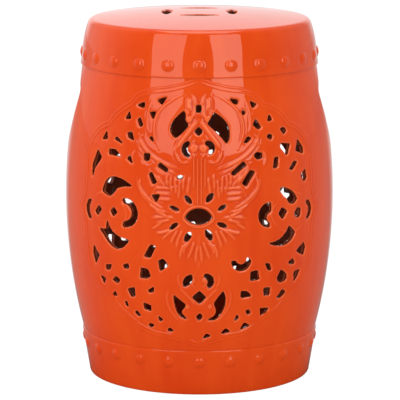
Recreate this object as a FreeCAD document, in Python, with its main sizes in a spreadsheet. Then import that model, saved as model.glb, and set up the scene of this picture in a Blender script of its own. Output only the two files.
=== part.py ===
"""Ceramic garden stool: a glazed barrel with a pierced medallion front and rear.

Millimetres, +Z up. The origin is the middle of the foot on the floor and the front faces -Y.
"""
import FreeCAD, Part
import math
import os
import re
import Sketcher

Vector = FreeCAD.Vector
Z_AXIS = Vector(0, 0, 1)

doc = FreeCAD.newDocument("GardenStool")

# Driving dimensions: one named value each, in millimetres, degrees or a plain count
DIMENSIONS = [
    ("rim_height", 453, "height of the seat's rim above the floor"),
    ("dome_rise", 10, "how far the middle of the seat stands above its rim"),
    ("rim_radius", 141, "outer radius at the seat's rim and at the foot"),
    ("rim_rounding", 6, "rounding of the rim's outer edge"),
    ("upper_ledge_height", 398, "underside of the shoulder band"),
    ("lower_ledge_height", 58, "top of the base band"),
    ("ledge_step", 1.6, "how far each band stands proud of the barrel"),
    ("neck_radius", 149, "outer radius of the barrel at both ledges"),
    ("waist_radius", 170.5, "outer radius of the barrel at the waist"),
    ("wall_thickness", 9, "thickness of the fired wall"),
    ("seat_thickness", 10, "thickness of the seat at its edge"),
    ("seat_radius", 131, "outer radius of the seat slab"),
    ("shelf_width", 6, "bearing of the seat slab on the shoulder band"),
    ("shelf_depth", 7, "depth of the shelf under the seat slab"),
    ("coin_radius", 41, "circle on which the seat's coin openings lie"),
    ("coin_opening_length", 48, "length of one coin opening"),
    ("coin_opening_width", 12, "width of one coin opening"),
    ("coin_opening_count", 4, "openings in the seat's coin"),
    ("foot_height", 8, "height of the foot ring"),
    ("foot_width", 17, "width of the foot ring"),
    ("foot_rounding", 3, "rounding of the foot's outer edge"),
    ("nail_count", 24, "nail heads in one row"),
    ("nail_radius", 8, "radius of one nail head"),
    ("nail_top_radius", 4.6, "radius of its flattened top"),
    ("nail_sides", 12, "facets round one nail head"),
    ("nail_rise", 3.6, "how far a nail head stands proud of its band"),
    ("nail_inset", 15.5, "distance of each nail row from its ledge"),
    ("medallion_height", 231, "height of the medallions' middle"),
    ("medallion_half_height", 165, "middle to ogee point, up and down"),
    ("medallion_half_angle", 60, "middle to ogee point, round the barrel"),
    ("frame_width", 8, "width of the raised frame round a medallion"),
    ("frame_rise", 2.4, "how far the frame stands proud of the barrel"),
    ("stem_rib_count", 4, "ribs in the reeded stem above the centre oval"),
    ("stem_rib_width", 2.6, "width of one rib"),
    ("stem_rib_gap", 2, "space between two ribs"),
    ("stem_length", 56, "length of the stem"),
    ("stem_foot_height", 247, "height of the stem's lower end"),
    ("relief_rise", 1.6, "how far the stem and the collar stand proud"),
    ("collar_width", 3.6, "width of the raised collar round the centre oval"),
    ("collar_margin", 1.2, "land between the centre oval and its collar"),
    ("grip_lip_height", 375, "height of the lip over each side grip"),
    ("grip_lip_reach", 151.5, "distance of the lip from the axis"),
    ("grip_root_height", 365, "height of the deepest line of a side grip"),
    ("grip_root_reach", 149.9, "distance of that line from the axis"),
    ("grip_slope_height", 338, "height half way down the grip's slope"),
    ("grip_slope_reach", 157.6, "distance of the slope from the axis there"),
    ("grip_end_height", 292, "height where the slope runs out"),
    ("grip_end_reach", 168, "distance of the slope from the axis there"),
    ("grip_top_reach", 148.4, "distance from the axis of the flat above the lip"),
]
NAMES = {name for name, value, note in DIMENSIONS}

sheet = doc.addObject("Spreadsheet::Sheet", "Dimensions")
for row, (name, value, note) in enumerate(DIMENSIONS, start=1):
    sheet.set(f"A{row}", note)
    sheet.set(f"B{row}", str(value))
    sheet.setAlias(f"B{row}", name)
doc.recompute()


def linked(text):
    """An expression in which every dimension's name points to its cell of the sheet."""
    return re.sub(r"[a-z_]+", lambda word: f"Dimensions.{word[0]}" if word[0] in NAMES else word[0], text)


def size(text):
    """The present value of an expression over the driving dimensions."""
    return float(sheet.evalExpression(text))


def bind(obj, **expressions):
    """Tie properties of an object to the sheet."""
    for prop, text in expressions.items():
        obj.setExpression(prop, linked(text))


# Profiles, bodies and patterns

def plane_of(body, role):
    """One of a body's own origin planes or axes."""
    return next(part for part in body.Origin.OriginFeatures if part.Role == role)


def new_body(name):
    body = doc.addObject("PartDesign::Body", name)
    body.Label = name
    return body


def new_sketch(body, name, role="XZ_Plane"):
    sketch = body.newObject("Sketcher::SketchObject", name)
    sketch.AttachmentSupport = [(plane_of(body, role), "")]
    sketch.MapMode = "FlatFace"
    return sketch


def draw_profile(sketch, corners, bends=None):
    """A closed profile whose corners, and one point on each arc, are bound to the sheet.

    corners holds (across, up) expressions. bends gives, for the edge that leaves the corner
    of that number, a point that the edge bends through.
    """
    bends = bends or {}
    places = [Vector(size(across), size(up), 0) for across, up in corners]
    count = len(corners)
    ends = []
    for index, start in enumerate(places):
        end = places[(index + 1) % count]
        forward = True
        if index in bends:
            across, up = bends[index]
            bend = Vector(size(across), size(up), 0)
            # A sketch holds its arcs anticlockwise, so one may run from the profile's later corner
            forward = (bend - start).cross(end - bend).z > 0
            arc = Part.Arc(start, bend, end) if forward else Part.Arc(end, bend, start)
            edge = sketch.addGeometry(arc)
        else:
            edge = sketch.addGeometry(Part.LineSegment(start, end))
        ends.append((edge, 1, 2) if forward else (edge, 2, 1))
    for index in range(count):
        edge, first, last = ends[index]
        following, its_first, its_last = ends[(index + 1) % count]
        sketch.addConstraint(Sketcher.Constraint("Coincident", edge, last, following, its_first))
    for index, (across, up) in enumerate(corners):
        pin_point(sketch, ends[index][0], ends[index][1], across, up)
    for index, (across, up) in bends.items():
        point = sketch.addGeometry(Part.Point(Vector(size(across), size(up), 0)), True)
        sketch.addConstraint(Sketcher.Constraint("PointOnObject", point, 1, ends[index][0]))
        pin_point(sketch, point, 1, across, up)


def pin_point(sketch, edge, end, across, up):
    """Hold a point of the sketch at two bound distances from its origin."""
    for kind, text in (("DistanceX", across), ("DistanceY", up)):
        constraint = Sketcher.Constraint(kind, -1, 1, edge, end, size(text))
        index = sketch.addConstraint(constraint)
        sketch.setExpression(f"Constraints[{index}]", linked(text))


def turned_body(name, corners, bends=None):
    """A body of revolution about the stool's axis."""
    body = new_body(name)
    sketch = new_sketch(body, f"{name}_profile")
    draw_profile(sketch, corners, bends)
    turning = body.newObject("PartDesign::Revolution", f"{name}_turning")
    turning.Profile = sketch
    turning.ReferenceAxis = (sketch, ["V_Axis"])
    turning.Angle = 360
    return body


def polar_copies(body, feature, count):
    """Repeat a feature of a body round the stool's axis."""
    pattern = body.newObject("PartDesign::PolarPattern", f"{feature.Name}_pattern")
    pattern.Originals = [feature]
    pattern.Axis = (plane_of(body, "Z_Axis"), [""])
    pattern.Angle = 360
    bind(pattern, Occurrences=count)
    body.Tip = pattern
    return pattern


def boolean(kind, name, base, tool):
    """A Part boolean of two objects."""
    result = doc.addObject(f"Part::{kind}", name)
    result.Base = base
    result.Tool = tool
    result.Label = name
    return result


def free_shape(name, shape):
    """A shape made with Part's own functions, for forms that no sketch on a plane fits."""
    feature = doc.addObject("Part::Feature", name)
    feature.Shape = shape
    feature.Label = name
    return feature


def turned_copy(name, source):
    """The same piece on the stool's other side."""
    copy = doc.addObject("Part::Compound", name)
    copy.Links = [source]
    copy.Placement = FreeCAD.Placement(Vector(0, 0, 0), FreeCAD.Rotation(Z_AXIS, 180))
    copy.Label = name
    return copy


# Bands, foot and seat

BAND_RADIUS = "neck_radius + ledge_step"
FOOT_TOP_RADIUS = f"rim_radius + ({BAND_RADIUS} - rim_radius) * foot_height / lower_ledge_height"


def make_shoulder_band():
    """The conical band under the seat, from its ledge up to the rounded rim."""
    rim_edge = "rim_height - rim_rounding"
    shelf_top = "rim_height - seat_thickness"
    shelf_inside = "seat_radius - shelf_width"
    shelf_bottom = f"{shelf_top} - shelf_depth"
    return turned_body(
        "shoulder_band",
        [
            (f"{BAND_RADIUS} - wall_thickness - ledge_step", "upper_ledge_height"),
            (BAND_RADIUS, "upper_ledge_height"),
            ("rim_radius", rim_edge),
            ("rim_radius - rim_rounding", "rim_height"),
            ("seat_radius", "rim_height"),
            ("seat_radius", shelf_top),
            (shelf_inside, shelf_top),
            (shelf_inside, shelf_bottom),
            ("rim_radius - wall_thickness", f"{shelf_bottom} - shelf_width"),
        ],
        {2: ("rim_radius - rim_rounding * (1 - cos(45))", "rim_height - rim_rounding * (1 - cos(45))")},
    )


def make_base_band():
    """The conical band above the foot."""
    return turned_body(
        "base_band",
        [
            (f"{FOOT_TOP_RADIUS} - wall_thickness", "foot_height"),
            (FOOT_TOP_RADIUS, "foot_height"),
            (BAND_RADIUS, "lower_ledge_height"),
            ("neck_radius - wall_thickness", "lower_ledge_height"),
        ],
    )


def make_foot_ring():
    """The turned-in foot that the stool rests on."""
    return turned_body(
        "foot_ring",
        [
            ("rim_radius - foot_width", "0"),
            ("rim_radius - foot_rounding", "0"),
            ("rim_radius", "foot_rounding"),
            (FOOT_TOP_RADIUS, "foot_height"),
            ("rim_radius - foot_width", "foot_height"),
        ],
        {1: ("rim_radius - foot_rounding * (1 - cos(45))", "foot_rounding * (1 - cos(45))")},
    )


# Radius of the sphere that the dome of the seat is cut from
DOME = "((seat_radius ^ 2 + dome_rise ^ 2) / (2 * dome_rise))"


def make_seat_slab():
    """The domed seat with its coin: lens-shaped openings round a solid middle."""
    body = turned_body(
        "seat_slab",
        [
            ("0", "rim_height - seat_thickness"),
            ("seat_radius", "rim_height - seat_thickness"),
            ("seat_radius", "rim_height"),
            ("0", "rim_height + dome_rise"),
        ],
        {2: ("seat_radius / 2", f"rim_height + dome_rise - {DOME} + sqrt({DOME} ^ 2 - (seat_radius / 2) ^ 2)")},
    )
    opening = new_sketch(body, "coin_opening", "XY_Plane")
    draw_profile(
        opening,
        [("-coin_opening_length / 2", "coin_radius"), ("coin_opening_length / 2", "coin_radius")],
        {
            0: ("0", "coin_radius - coin_opening_width / 2"),
            1: ("0", "coin_radius + coin_opening_width / 2"),
        },
    )
    doc.recompute()
    pocket = body.newObject("PartDesign::Pocket", "coin_pocket")
    pocket.Profile = opening
    pocket.Type = "ThroughAll"
    pocket.Midplane = True
    polar_copies(body, pocket, "coin_opening_count")
    return body


# Barrel wall with its side grips

WAIST_HEIGHT = "(upper_ledge_height + lower_ledge_height) / 2"


def barrel_solid(name, inset):
    """The barrel as a solid, its outer face moved inwards by an inset, with both side grips."""
    neck = f"neck_radius - ({inset})"
    body = turned_body(
        name,
        [
            ("0", "lower_ledge_height"),
            (neck, "lower_ledge_height"),
            (neck, "upper_ledge_height"),
            ("0", "upper_ledge_height"),
        ],
        {1: (f"waist_radius - ({inset})", WAIST_HEIGHT)},
    )
    scoop = new_sketch(body, f"{name}_scoop")
    outside = "waist_radius + wall_thickness"
    draw_profile(
        scoop,
        [
            (outside, "grip_end_height"),
            (outside, "upper_ledge_height + shelf_depth"),
            (f"grip_top_reach - ({inset})", "upper_ledge_height + shelf_depth"),
            (f"grip_top_reach - ({inset})", "upper_ledge_height"),
            (f"grip_lip_reach - ({inset})", "grip_lip_height"),
            (f"grip_root_reach - ({inset})", "grip_root_height"),
            (f"grip_end_reach - ({inset})", "grip_end_height"),
        ],
        {5: (f"grip_slope_reach - ({inset})", "grip_slope_height")},
    )
    doc.recompute()
    pocket = body.newObject("PartDesign::Pocket", f"{name}_grip")
    pocket.Profile = scoop
    pocket.Type = "ThroughAll"
    pocket.Midplane = True
    polar_copies(body, pocket, "2")
    return body


def make_barrel_shell():
    """The closed barrel wall, before its two medallions are cut."""
    outside = barrel_solid("barrel_outside", "0")
    inside = barrel_solid("barrel_inside", "wall_thickness")
    return boolean("Cut", "barrel_shell", outside, inside)


def relief_skin(name, rise):
    """A thin skin on the barrel, as thick as the relief that is cut from it."""
    return turned_body(
        name,
        [
            ("neck_radius", "lower_ledge_height"),
            (f"neck_radius + {rise}", "lower_ledge_height"),
            (f"neck_radius + {rise}", "upper_ledge_height"),
            ("neck_radius", "upper_ledge_height"),
        ],
        {
            1: (f"waist_radius + {rise}", WAIST_HEIGHT),
            3: ("waist_radius", WAIST_HEIGHT),
        },
    )


# The medallion is drawn flat, as if unrolled from the barrel, at this size
DRAWN_HALF_WIDTH = 179
DRAWN_HALF_HEIGHT = 165
DRAWN_MIDDLE = 231

# A quarter of the frame's centre line from the top point to the side point: corners with,
# between them, a point that the arc to the next corner bends through, or None for a line
FRAME_CORNERS = [(0, 165), (60, 152), (88, 132), (126, 107), (165, 66), (165, 27), (179, 0)]
FRAME_BENDS = [(30, 156), (76, 145), (111, 125), (154, 93), None, (169, 11)]

# Openings with straight sides, as cut by hand: the middle ones, then the left half from its
# top down, then the right half from its top down
FACETED_OPENINGS = [
    [(-4, 366), (2, 366), (2, 358), (-4, 358)],
    [(-6, 335), (-1, 340), (4, 335), (-1, 330)],
    [(-9, 129), (0, 137), (8, 129), (0, 121)],
    [(-4, 104), (1, 108), (4, 103), (-1, 99)],
    [(-57, 371), (-45, 375), (-51, 366)],
    [(-88, 364), (-77, 368), (-77, 361)],
    [(-67, 356), (-59, 357), (-62, 348)],
    [(-103, 346), (-98, 355), (-95, 347)],
    [(-84, 346), (-81, 349), (-76, 340), (-80, 338)],
    [(-98, 329), (-92, 331), (-88, 321), (-96, 324)],
    [(-66, 326), (-62, 327), (-60, 321)],
    [(-140, 318), (-133, 328), (-131, 319)],
    [(-118, 320), (-115, 323), (-105, 316)],
    [(-126, 301), (-126, 307), (-115, 307), (-107, 300)],
    [(-96, 298), (-92, 302), (-88, 293)],
    [(-72, 306), (-64, 306), (-65, 298), (-71, 298)],
    [(-53, 292), (-50, 296), (-40, 289), (-41, 285)],
    [(-64, 282), (-61, 284), (-54, 272), (-59, 270)],
    [(-28, 279), (-24, 282), (-20, 280), (-24, 277)],
    [(-147, 304), (-139, 295), (-150, 282), (-155, 270), (-156, 284)],
    [(-60, 256), (-50, 257), (-54, 248)],
    [(-120, 231), (-115, 236), (-110, 230), (-116, 225)],
    [(-148, 227), (-141, 235), (-136, 231), (-143, 223)],
    [(-127, 219), (-119, 207), (-93, 198), (-102, 189), (-119, 186), (-132, 196), (-141, 206), (-131, 208)],
    [(-154, 183), (-144, 172), (-152, 160), (-156, 172)],
    [(-62, 194), (-56, 192), (-63, 178), (-71, 179)],
    [(-52, 174), (-46, 177), (-40, 169), (-50, 162)],
    [(-103, 164), (-94, 167), (-95, 161), (-101, 161)],
    [(-76, 164), (-67, 162), (-64, 154), (-69, 151), (-78, 151)],
    [(-132, 161), (-122, 162), (-126, 156), (-132, 155)],
    [(-122, 143), (-116, 148), (-110, 144), (-114, 140)],
    [(-144, 145), (-135, 143), (-139, 136)],
    [(-98, 134), (-88, 137), (-88, 126), (-94, 125)],
    [(-68, 135), (-60, 140), (-61, 134), (-66, 133)],
    [(-125, 123), (-120, 128), (-117, 123)],
    [(-105, 117), (-102, 118), (-100, 111), (-103, 112)],
    [(-76, 118), (-66, 116), (-66, 109), (-75, 111)],
    [(-90, 104), (-86, 105), (-82, 100), (-88, 98)],
    [(-56, 103), (-50, 98), (-54, 96)],
    [(-71, 90), (-68, 92), (-63, 90), (-68, 87)],
    [(-44, 84), (-41, 88), (-36, 84)],
    [(42, 373), (53, 371), (51, 366), (46, 368)],
    [(70, 369), (79, 365), (73, 361)],
    [(57, 356), (59, 359), (62, 356), (59, 353)],
    [(72, 341), (76, 347), (83, 337), (79, 335)],
    [(94, 344), (97, 351), (101, 345)],
    [(113, 333), (119, 334), (123, 330), (118, 326)],
    [(91, 325), (95, 328), (99, 326), (97, 321)],
    [(58, 320), (63, 327), (68, 325), (62, 320)],
    [(111, 311), (113, 315), (127, 313), (121, 300)],
    [(137, 304), (142, 317), (151, 306), (151, 299)],
    [(71, 304), (75, 307), (82, 306), (82, 300), (75, 299)],
    [(98, 286), (101, 299), (106, 299), (104, 287)],
    [(124, 283), (132, 291), (138, 290), (129, 281)],
    [(144, 272), (153, 279), (155, 268), (150, 264)],
    [(40, 284), (56, 297), (60, 293), (43, 281)],
    [(54, 271), (65, 286), (71, 284), (59, 267)],
    [(107, 261), (113, 263), (128, 253), (135, 246), (122, 242), (116, 251)],
    [(105, 229), (110, 236), (118, 231), (111, 222)],
    [(131, 226), (136, 233), (142, 231), (141, 222), (134, 221)],
    [(120, 212), (131, 205), (130, 199), (117, 192), (105, 190), (90, 193), (109, 200)],
    [(137, 178), (150, 187), (154, 180), (151, 171)],
    [(67, 159), (76, 160), (79, 149), (67, 148)],
    [(87, 168), (93, 167), (96, 159), (91, 160)],
    [(124, 165), (131, 169), (135, 163), (129, 162)],
    [(112, 157), (122, 150), (121, 143), (112, 141), (106, 146)],
    [(135, 151), (146, 153), (143, 145), (137, 139)],
    [(87, 136), (96, 136), (96, 127), (88, 127)],
    [(55, 135), (63, 134), (69, 128), (55, 127)],
    [(109, 121), (117, 131), (123, 127), (115, 121)],
    [(63, 109), (67, 110), (70, 106), (66, 104)],
    [(84, 110), (97, 109), (87, 98)],
    [(48, 97), (51, 105), (53, 100)],
    [(57, 85), (62, 93), (70, 89)],
    [(30, 81), (36, 87), (42, 83)],
    [(5, 75), (10, 81), (15, 78)],
]

# Openings between two arcs that meet in points: point, bend, point, bend
CENTRE_OVAL = [(-17, 230), (-1, 241), (15, 230), (-1, 222)]
POINTED_OPENINGS = [
    CENTRE_OVAL,
    [(-18, 257), (-12, 254), (-10, 247), (-15, 250)],
    [(9, 249), (10, 256), (17, 260), (15, 253)],
    [(-37, 244), (-31, 243), (-25, 239), (-31, 239)],
    [(23, 239), (27, 244), (33, 245), (29, 240)],
    [(-37, 215), (-33, 221), (-27, 223), (-31, 217)],
    [(22, 223), (28, 223), (34, 218), (28, 218)],
    [(-18, 200), (-17, 208), (-11, 212), (-12, 204)],
    [(8, 215), (14, 211), (15, 202), (9, 206)],
    [(-22, 361), (-36, 343), (-32, 328), (-16, 343)],
    [(17, 359), (37, 345), (35, 320), (18, 340)],
    [(-89, 265), (-114, 273), (-135, 254), (-112, 259)],
    [(-34, 134), (-32, 113), (-19, 101), (-20, 119)],
    [(30, 137), (31, 116), (11, 100), (19, 120)],
    [(-20, 143), (-18, 154), (-10, 158), (-12, 147)],
]

# Hooks and slivers as bands round an arc: outer start, bend and end, inner end, bend and start
HOOKED_OPENINGS = [
    [(-13, 323), (-22, 314), (-13, 304), (-12, 308), (-16, 314), (-13, 319)],
    [(8, 323), (19, 315), (13, 307), (12, 310), (13, 315), (8, 319)],
    [(-101, 248), (-80, 234), (-101, 214), (-99, 220), (-87, 232), (-99, 243)],
    [(-161, 240), (-167, 229), (-160, 216), (-156, 218), (-160, 229), (-156, 240)],
    [(93, 244), (76, 229), (91, 214), (91, 219), (87, 229), (93, 233)],
    [(156, 240), (164, 228), (156, 216), (154, 219), (158, 229), (152, 238)],
    [(41, 175), (52, 162), (66, 174), (61, 178), (53, 169), (46, 174)],
    [(7, 159), (18, 149), (12, 141), (10, 145), (11, 151), (6, 155)],
]


def barrel_radius(height):
    """Outer radius of the plain barrel at a height."""
    reach = size(f"upper_ledge_height - {WAIST_HEIGHT}")
    bulge = size("waist_radius - neck_radius")
    arc_radius = (reach ** 2 + bulge ** 2) / (2 * bulge)
    rise = height - size(WAIST_HEIGHT)
    return size("waist_radius") - arc_radius + math.sqrt(arc_radius ** 2 - rise ** 2)


def drawn_place(point):
    """Angle round the barrel, in degrees, and height of a point of the flat drawing."""
    across, height = point
    angle = across / DRAWN_HALF_WIDTH * size("medallion_half_angle")
    scale = size("medallion_half_height") / DRAWN_HALF_HEIGHT
    return angle, size("medallion_height") + (height - DRAWN_MIDDLE) * scale


def flat_edges(places, spans):
    """Edges through numbered places: a span of two places is a line, of three an arc."""
    edges = []
    for span in spans:
        through = [places[index] for index in span]
        if len(span) == 2:
            edges.append(Part.LineSegment(*through).toShape())
        else:
            edges.append(Part.Arc(*through).toShape())
    return edges


def opening_cutter(points, spans):
    """A prism that cuts one opening square through the wall, along the barrel's own radius."""
    places = [drawn_place(point) for point in points]
    middle = sum(angle for angle, height in places) / len(places)
    near = size("neck_radius - 2 * wall_thickness")
    far = size("waist_radius + wall_thickness")
    corners = []
    for angle, height in places:
        across = barrel_radius(height) * math.tan(math.radians(angle - middle))
        corners.append(Vector(across, -near, height))
    wire = Part.Wire(flat_edges(corners, spans))
    prism = Part.Face(wire).extrude(Vector(0, near - far, 0))
    prism.rotate(Vector(0, 0, 0), Z_AXIS, middle)
    return prism


def opening_cutters():
    """Every opening of one medallion."""
    cutters = []
    for points in FACETED_OPENINGS:
        last = len(points) - 1
        spans = [(index, index + 1) for index in range(last)] + [(last, 0)]
        cutters.append(opening_cutter(points, spans))
    for points in POINTED_OPENINGS:
        cutters.append(opening_cutter(points, [(0, 1, 2), (2, 3, 0)]))
    for points in HOOKED_OPENINGS:
        cutters.append(opening_cutter(points, [(0, 1, 2), (2, 3), (3, 4, 5), (5, 0)]))
    return Part.makeCompound(cutters)


def frame_line():
    """The frame's centre line in the flat drawing, as one closed wire of arcs and lines."""
    quarter = []
    for index, bend in enumerate(FRAME_BENDS):
        quarter.append((FRAME_CORNERS[index], bend, FRAME_CORNERS[index + 1]))
    half = quarter + [mirrored_span(span, 1, -1) for span in reversed(quarter)]
    whole = half + [mirrored_span(span, -1, 1) for span in reversed(half)]
    edges = []
    for start, bend, end in whole:
        if bend:
            edges.append(Part.Arc(Vector(*start, 0), Vector(*bend, 0), Vector(*end, 0)).toShape())
        else:
            edges.append(Part.LineSegment(Vector(*start, 0), Vector(*end, 0)).toShape())
    return Part.Wire(edges)


def mirrored_span(span, across, up):
    """A stretch of the frame line mirrored, and turned round so that the line runs on."""
    start, bend, end = [point and (point[0] * across, point[1] * up) for point in span]
    return end, bend, start


# Points through which each edge of a line in the drawing is carried onto the barrel
WINDOW_POINTS = 7
FRAME_POINTS = 5


def radial_tool(name, flat_wire, points_per_edge):
    """A solid that reaches radially through the barrel wall inside a closed line of the drawing.

    Every edge of the line is drawn twice, on a plane near the axis and on a plane in front of
    the barrel, so that the faces between the two run along the barrel's radii.
    """
    near = size("neck_radius - wall_thickness") * math.cos(math.radians(size("medallion_half_angle"))) / 2
    far = size("waist_radius + wall_thickness")
    wires = []
    for depth in (near, far):
        edges = []
        for edge in flat_wire.OrderedEdges:
            flats = edge.discretize(Number=points_per_edge)
            if edge.Orientation == "Reversed":
                flats.reverse()
            edges.append(radial_edge(flats, depth))
        wires.append(Part.Wire(edges))
    return free_shape(name, Part.makeLoft(wires, True, True))


def radial_edge(flats, depth):
    """A stretch of the flat drawing carried along the radii to an upright plane."""
    curve = Part.BSplineCurve()
    places = []
    for flat in flats:
        angle, height = drawn_place((flat.x, flat.y + DRAWN_MIDDLE))
        places.append(Vector(depth * math.tan(math.radians(angle)), -depth, height))
    curve.interpolate(places)
    return curve.toShape()


def frame_on_barrel(name, skin, line, outwards, inwards):
    """A raised band on the barrel that follows a line of the drawing."""
    outer = radial_tool(f"{name}_outer_edge", line.makeOffset2D(outwards), FRAME_POINTS)
    inner = radial_tool(f"{name}_inner_edge", line.makeOffset2D(inwards), FRAME_POINTS)
    band = boolean("Cut", f"{name}_band", outer, inner)
    return boolean("Common", name, skin, band)


def oval_line():
    """The centre oval in the flat drawing, about the drawing's middle."""
    places = [Vector(across, height - DRAWN_MIDDLE, 0) for across, height in CENTRE_OVAL]
    return Part.Wire(flat_edges(places, [(0, 1, 2), (2, 3, 0)]))


def make_stem(name, skin):
    """The reeded stem: upright ribs that stand on the collar of the centre oval."""
    width = size("stem_rib_width")
    pitch = width + size("stem_rib_gap")
    count = int(size("stem_rib_count"))
    bottom = size("stem_foot_height")
    top = bottom + size("stem_length")
    ribs = []
    for number in range(count):
        left = (number - (count - 1) / 2) * pitch - width / 2
        corners = [(left, bottom), (left + width, bottom), (left + width, top), (left, top)]
        ribs.append(opening_cutter(corners, [(0, 1), (1, 2), (2, 3), (3, 0)]))
    cutter = free_shape(f"{name}_ribs", Part.makeCompound(ribs))
    return boolean("Common", name, skin, cutter)


def regular_corners(radius, height):
    """Corners of the many-sided outline that a nail head is built on, closed."""
    sides = int(size("nail_sides"))
    corners = []
    for number in range(sides + 1):
        angle = math.radians(360 / sides * number)
        corners.append(Vector(radius * math.cos(angle), radius * math.sin(angle), height))
    return corners


def nail_row(name, ledge, edge):
    """A row of nail heads square to a conical band, each touching it along its middle.

    ledge and edge are the heights at which the band has its largest and smallest radius.
    """
    rise = size("nail_rise")
    base = Part.makePolygon(regular_corners(size("nail_radius"), 0))
    top = Part.makePolygon(regular_corners(size("nail_top_radius"), rise))
    head = Part.makeLoft([base, top], True, True)
    fall = size(f"{BAND_RADIUS} - rim_radius")
    direction = math.copysign(1, edge - ledge)
    inset = size("nail_inset")
    reach = size(BAND_RADIUS) - fall * inset / abs(edge - ledge)
    lean = math.degrees(math.atan2(fall, abs(edge - ledge)))
    head.rotate(Vector(0, 0, 0), Vector(1, 0, 0), 90 - direction * lean)
    head.translate(Vector(0, -reach, ledge + direction * inset))
    heads = []
    count = int(size("nail_count"))
    for number in range(count):
        copy = head.copy()
        copy.rotate(Vector(0, 0, 0), Z_AXIS, 360 / count * number)
        heads.append(copy)
    return free_shape(name, Part.makeCompound(heads))


def make_stool():
    """Every sub-part of the stool."""
    shoulder = make_shoulder_band()
    base = make_base_band()
    nodes = [shoulder, base, make_foot_ring(), make_seat_slab()]
    shell = make_barrel_shell()
    doc.recompute()

    line = frame_line()
    window = radial_tool("front_window", line, WINDOW_POINTS)
    other_window = turned_copy("rear_window", window)
    windows = doc.addObject("Part::Compound", "windows")
    windows.Links = [window, other_window]
    nodes.append(boolean("Cut", "barrel_wall", shell, windows))

    blank = boolean("Common", "medallion_blank", shell, window)
    openings = free_shape("medallion_openings", opening_cutters())
    medallion = boolean("Cut", "front_medallion", blank, openings)
    half_width = size("frame_width") / 2
    frame_skin = relief_skin("frame_skin", "frame_rise")
    frame = frame_on_barrel("front_frame", frame_skin, line, half_width, -half_width)
    low_skin = relief_skin("low_skin", "relief_rise")
    margin = size("collar_margin")
    collar = frame_on_barrel(
        "front_collar", low_skin, oval_line(), margin + size("collar_width"), margin)
    stem = make_stem("front_stem", low_skin)
    for front in (medallion, frame, collar, stem):
        nodes.append(front)
        nodes.append(turned_copy(front.Name.replace("front", "rear"), front))

    upper = size("upper_ledge_height")
    nodes.append(nail_row("upper_nail_heads", upper, size("rim_height - rim_rounding")))
    nodes.append(nail_row("lower_nail_heads", size("lower_ledge_height"), 0))
    return nodes


def check_and_write(nodes):
    """Stop at a failed object or a bad shape, and write one STEP file for each sub-part."""
    doc.recompute()
    for obj in doc.Objects:
        if "Invalid" in obj.State or "Error" in obj.State:
            raise RuntimeError(f"{obj.Name} failed: {obj.State}")
    for node in nodes:
        shape = node.Shape
        if shape.isNull() or not shape.isValid() or not shape.Solids:
            raise RuntimeError(f"{node.Label} has no valid solid")
    os.makedirs("parts", exist_ok=True)
    for node in nodes:
        node.Shape.exportStep(f"parts/{node.Label}.step")
        print(node.Label, len(node.Shape.Solids), round(node.Shape.Volume))


check_and_write(make_stool())
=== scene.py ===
"""A glazed ceramic garden stool in a white studio. Metres, +Z up, and the front faces -Y."""
import math

import bmesh
import bpy
import numpy as np
from mathutils import Matrix, Vector, kdtree


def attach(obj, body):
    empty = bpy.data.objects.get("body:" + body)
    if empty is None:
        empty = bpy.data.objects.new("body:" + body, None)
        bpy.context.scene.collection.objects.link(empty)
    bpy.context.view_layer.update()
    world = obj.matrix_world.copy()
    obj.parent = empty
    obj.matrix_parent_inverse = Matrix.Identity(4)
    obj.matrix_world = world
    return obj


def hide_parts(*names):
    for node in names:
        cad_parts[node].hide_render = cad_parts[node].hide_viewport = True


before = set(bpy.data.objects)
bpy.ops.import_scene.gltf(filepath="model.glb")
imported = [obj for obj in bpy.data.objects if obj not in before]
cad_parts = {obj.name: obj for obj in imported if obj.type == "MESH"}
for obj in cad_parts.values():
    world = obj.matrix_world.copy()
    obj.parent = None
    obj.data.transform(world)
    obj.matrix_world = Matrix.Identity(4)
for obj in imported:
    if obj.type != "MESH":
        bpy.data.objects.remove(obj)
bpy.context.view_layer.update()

# Sizes that the stool's solids have too
RIM_RADIUS = 0.141
SEAT_RADIUS = 0.131
SEAT_UNDERSIDE = 0.443
UPPER_LEDGE = 0.398
LOWER_LEDGE = 0.058
LEDGE_STEP = 0.0016
NECK_RADIUS = 0.149
WAIST_RADIUS = 0.1705
BAND_RADIUS = NECK_RADIUS + LEDGE_STEP
WALL = 0.009
FOOT_WIDTH = 0.017
FOOT_HEIGHT = 0.008
NAIL_COUNT = 24
NAIL_RADIUS = 0.008
NAIL_INSET = 0.0155
COIN_RADIUS = 0.041
COIN_LENGTH = 0.048
COIN_WIDTH = 0.012

# Sizes that follow the photograph more closely than the solids do. The rim is round between two
# angles from upright, and meets the upper band at the height of its edge
RIM_EDGE = 0.4495
RIM_ROUNDING = 0.0085
RIM_TURNS = (math.radians(6.5), math.radians(71))
DOME_RISE = 0.0076
SHOULDER_SWELL = 0.0016
NAIL_RISE = 0.0022
COIN_NEAR_RADIUS = 0.038

MM = 0.001

# The medallion is drawn flat: 179 mm of the drawing cover 60 degrees of the barrel
DRAWING_RADIUS = 0.179 / math.radians(60)
MIDDLE_LINE = -0.001
OVAL_HEIGHT = 0.231

# Grip in either side: height and reach of the points of its profile, from its end up
GRIP = [(0.292, 0.168), (0.314, 0.1634), (0.338, 0.1576), (0.352, 0.1537), (0.365, 0.1499)]
GRIP_LIP = [(0.370, 0.1493), (0.375, 0.1500), (0.398, 0.1478)]


def barrel_radius(height):
    """Outer radius of the plain barrel at a height."""
    middle = (UPPER_LEDGE + LOWER_LEDGE) / 2
    reach = UPPER_LEDGE - middle
    bulge = WAIST_RADIUS - NECK_RADIUS
    arc = (reach ** 2 + bulge ** 2) / (2 * bulge)
    return WAIST_RADIUS - arc + np.sqrt(arc ** 2 - (height - middle) ** 2)


# Shader nodes

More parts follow.
